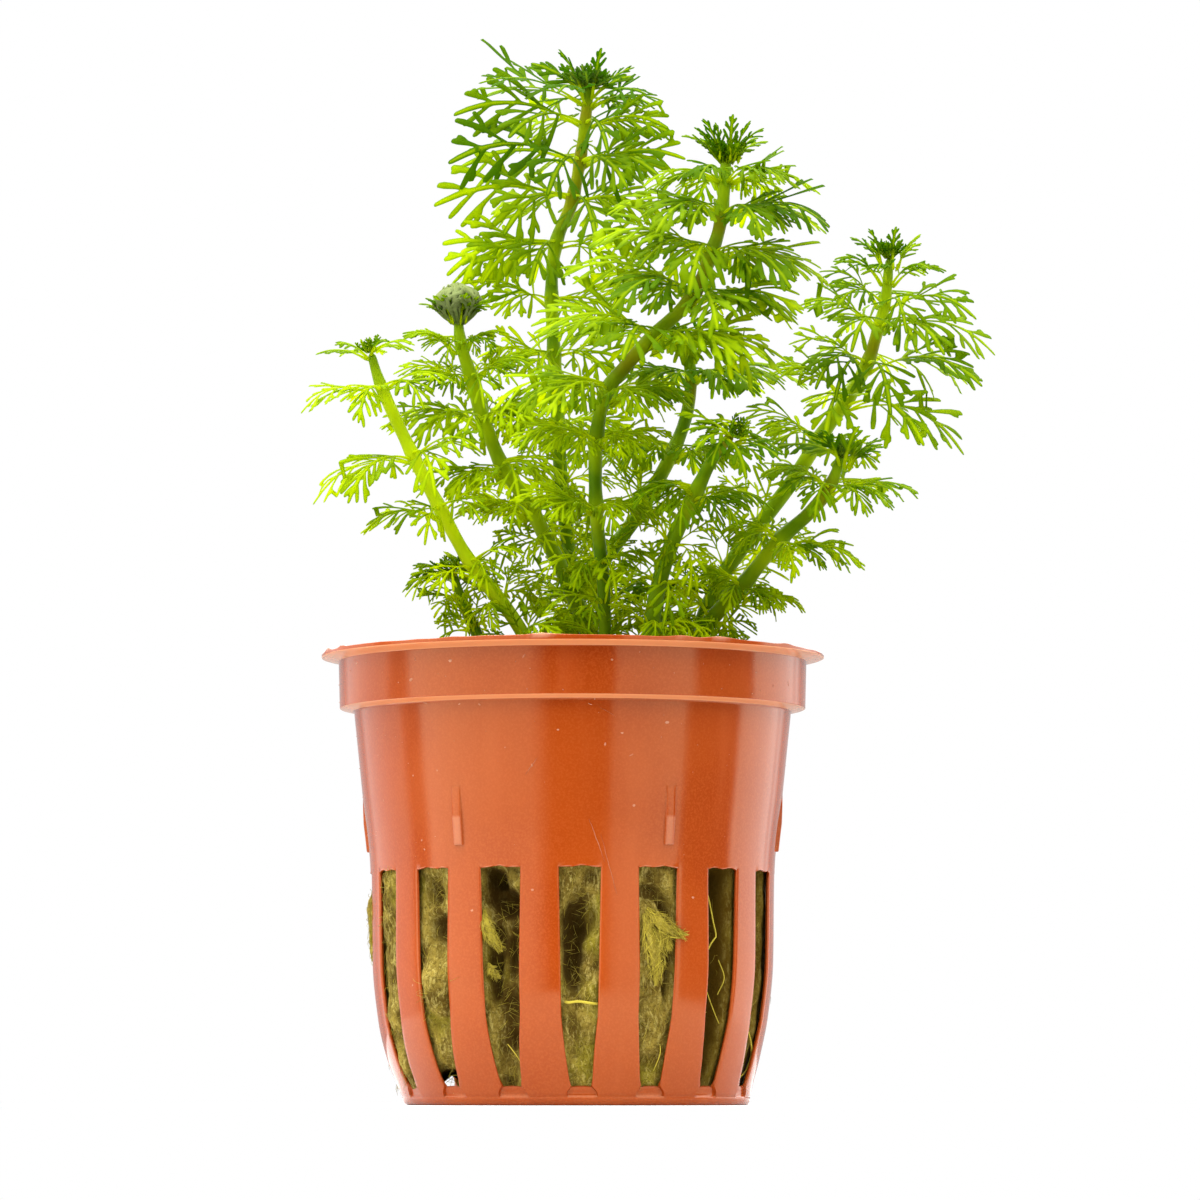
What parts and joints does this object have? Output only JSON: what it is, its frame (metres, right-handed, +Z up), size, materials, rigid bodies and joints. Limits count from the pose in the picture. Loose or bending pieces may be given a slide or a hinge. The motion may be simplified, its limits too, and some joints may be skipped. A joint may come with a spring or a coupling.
{
  "type": "potted dwarf ambulia",
  "caption": "Aquarium plant with whorls of feather-cut leaves on jointed stems, rooted in a rock wool plug inside a slotted net pot.",
  "frame": {"origin": "middle of the pot's base, on the surface it stands on", "axes": "+Z up along the pot's axis; -Y towards the viewer of the picture; +X to that viewer's right"},
  "size_m": [0.0765, 0.0548, 0.1179],
  "materials": {
    "clay_plastic": "satin clay-orange moulded plastic, slightly translucent",
    "rock_wool": "matted brown-green mineral fibre",
    "stem": "smooth fleshy yellow-green stem, brown below some joints",
    "leaf": "thin translucent green leaf, darker at the crowns"
  },
  "bodies": {
    "root": {"crown_a": "leaf", "crown_b": "leaf", "crown_c": "leaf", "crown_d": "leaf", "crown_e": "leaf", "crown_f": "leaf", "crown_g": "leaf", "crown_h": "leaf", "crown_j": "leaf", "crown_m": "leaf", "net_pot": "clay_plastic", "rock_wool": "rock_wool", "stem_a": "stem", "stem_b": "stem", "stem_c": "stem", "stem_d": "stem", "stem_e": "stem", "stem_f": "stem", "stem_g": "stem", "stem_h": "stem", "stem_j": "stem", "stem_m": "stem", "whorl_1_a": "leaf", "whorl_1_b": "leaf", "whorl_1_c": "leaf", "whorl_1_d": "leaf", "whorl_1_e": "leaf", "whorl_1_f": "leaf", "whorl_1_g": "leaf", "whorl_1_h": "leaf", "whorl_2_a": "leaf", "whorl_2_b": "leaf", "whorl_2_c": "leaf", "whorl_2_d": "leaf", "whorl_2_e": "leaf", "whorl_2_f": "leaf", "whorl_2_h": "leaf", "whorl_3_a": "leaf", "whorl_3_b": "leaf", "whorl_3_c": "leaf", "whorl_3_d": "leaf", "whorl_3_e": "leaf", "whorl_3_f": "leaf", "whorl_4_a": "leaf", "whorl_4_b": "leaf", "whorl_4_c": "leaf", "whorl_4_d": "leaf", "whorl_4_e": "leaf", "whorl_5_a": "leaf", "whorl_5_b": "leaf", "whorl_5_c": "leaf", "whorl_5_d": "leaf", "whorl_6_a": "leaf", "whorl_6_b": "leaf", "whorl_6_c": "leaf", "whorl_7_a": "leaf", "whorl_7_b": "leaf", "whorl_8_a": "leaf", "whorl_8_b": "leaf"}
  },
  "joints": []
}
